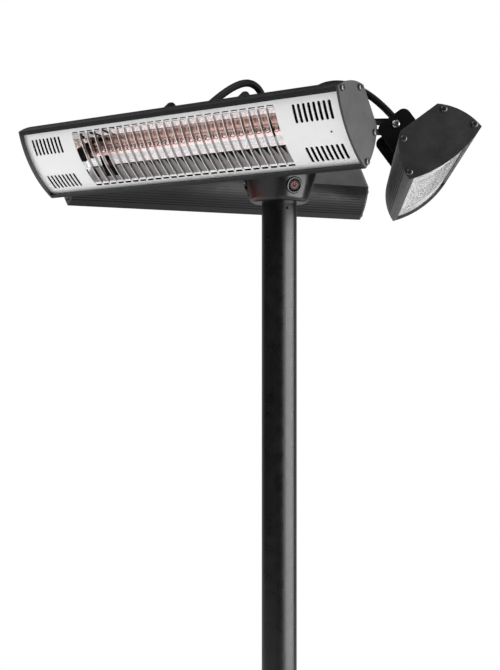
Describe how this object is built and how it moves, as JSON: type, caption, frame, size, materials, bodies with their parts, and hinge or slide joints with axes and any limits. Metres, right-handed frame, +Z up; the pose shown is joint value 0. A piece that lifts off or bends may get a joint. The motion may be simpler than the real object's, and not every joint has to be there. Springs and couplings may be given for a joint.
{
  "type": "infrared patio heater tower",
  "caption": "Free-standing infrared patio heater: long slotted heads tilt on forked arms around a conical hub with push switches, on a tall pole and round base.",
  "frame": {"origin": "centre of the base on the ground, on the axis of the pole", "axes": "+Z up; the front head faces -Y and its length runs along X"},
  "size_m": [0.7034, 0.6257, 2.155],
  "materials": {
    "housing_paint": "dark grey satin coated extrusion",
    "end_paint": "dark grey satin coated sheet",
    "face_silver": "silver satin sheet",
    "reflector": "polished",
    "quartz": "clear quartz tube",
    "filament": "heated coil",
    "ceramic": "dark ceramic",
    "terminal_plastic": "moulded",
    "bracket_paint": "black satin paint",
    "screw_steel": "plated steel",
    "gland_plastic": "black moulded",
    "lead_rubber": "black rubber",
    "hub_paint": "dark satin coated casting",
    "pole_paint": "dark satin paint",
    "base_paint": "dark satin paint",
    "switch_chrome": "chromed bezel",
    "cap_plastic": "dark lit cap",
    "foot_rubber": "black rubber"
  },
  "bodies": {
    "tower": {"arm_front": "bracket_paint", "pivot_bolts_front": "screw_steel", "lead_front": "lead_rubber", "arm_right": "bracket_paint", "pivot_bolts_right": "screw_steel", "lead_right": "lead_rubber", "arm_left": "bracket_paint", "pivot_bolts_left": "screw_steel", "lead_left": "lead_rubber", "hub": "hub_paint", "hub_lid": "hub_paint", "lid_fixings": "screw_steel", "lid_glands": "gland_plastic", "hub_terminals": "terminal_plastic", "switch_bodies": "switch_chrome", "pole": "pole_paint", "grub_screws": "screw_steel", "pole_socket": "base_paint", "base_plate": "base_paint", "flange_bolts": "screw_steel", "base_feet": "foot_rubber"},
    "head_front": {"housing_front": "housing_paint", "end_plates_front": "end_paint", "end_screws_front": "screw_steel", "face_grille_front": "face_silver", "reflector_front": "reflector", "lamp_tube_front": "quartz", "filament_front": "filament", "lamp_holders_front": "ceramic", "terminal_block_front": "terminal_plastic", "yoke_front": "bracket_paint", "yoke_screws_front": "screw_steel", "head_gland_front": "gland_plastic"},
    "head_right": {"housing_right": "housing_paint", "end_plates_right": "end_paint", "end_screws_right": "screw_steel", "face_grille_right": "face_silver", "reflector_right": "reflector", "lamp_tube_right": "quartz", "filament_right": "filament", "lamp_holders_right": "ceramic", "terminal_block_right": "terminal_plastic", "yoke_right": "bracket_paint", "yoke_screws_right": "screw_steel", "head_gland_right": "gland_plastic"},
    "head_left": {"housing_left": "housing_paint", "end_plates_left": "end_paint", "end_screws_left": "screw_steel", "face_grille_left": "face_silver", "reflector_left": "reflector", "lamp_tube_left": "quartz", "filament_left": "filament", "lamp_holders_left": "ceramic", "terminal_block_left": "terminal_plastic", "yoke_left": "bracket_paint", "yoke_screws_left": "screw_steel", "head_gland_left": "gland_plastic"},
    "button_1": {"switch_cap_1": "cap_plastic"},
    "button_2": {"switch_cap_2": "cap_plastic"},
    "button_3": {"switch_cap_3": "cap_plastic"}
  },
  "joints": [
    {"name": "tilt_front", "type": "hinge", "parent": "tower", "child": "head_front", "pos_m": [0, -0.163, 2.08], "axis": [1, 0, 0], "range_deg": [-52, 23], "deforming": ["lead_front"]},
    {"name": "tilt_right", "type": "hinge", "parent": "tower", "child": "head_right", "pos_m": [0.14116, 0.0815, 2.08], "axis": [-0.5, 0.866, 0], "range_deg": [-69, 6], "deforming": ["lead_right"]},
    {"name": "tilt_left", "type": "hinge", "parent": "tower", "child": "head_left", "pos_m": [-0.14116, 0.0815, 2.08], "axis": [-0.5, -0.866, 0], "range_deg": [-51, 24], "deforming": ["lead_left"]},
    {"name": "press_1", "type": "slide", "parent": "tower", "child": "button_1", "axis": [-0.8286, 0.4784, 0.2908], "range_m": [0, 0.002], "stiffness_N_per_m": 900},
    {"name": "press_2", "type": "slide", "parent": "tower", "child": "button_2", "axis": [0, -0.9568, 0.2908], "range_m": [0, 0.002], "stiffness_N_per_m": 900},
    {"name": "press_3", "type": "slide", "parent": "tower", "child": "button_3", "axis": [0.8286, 0.4784, 0.2908], "range_m": [0, 0.002], "stiffness_N_per_m": 900}
  ]
}
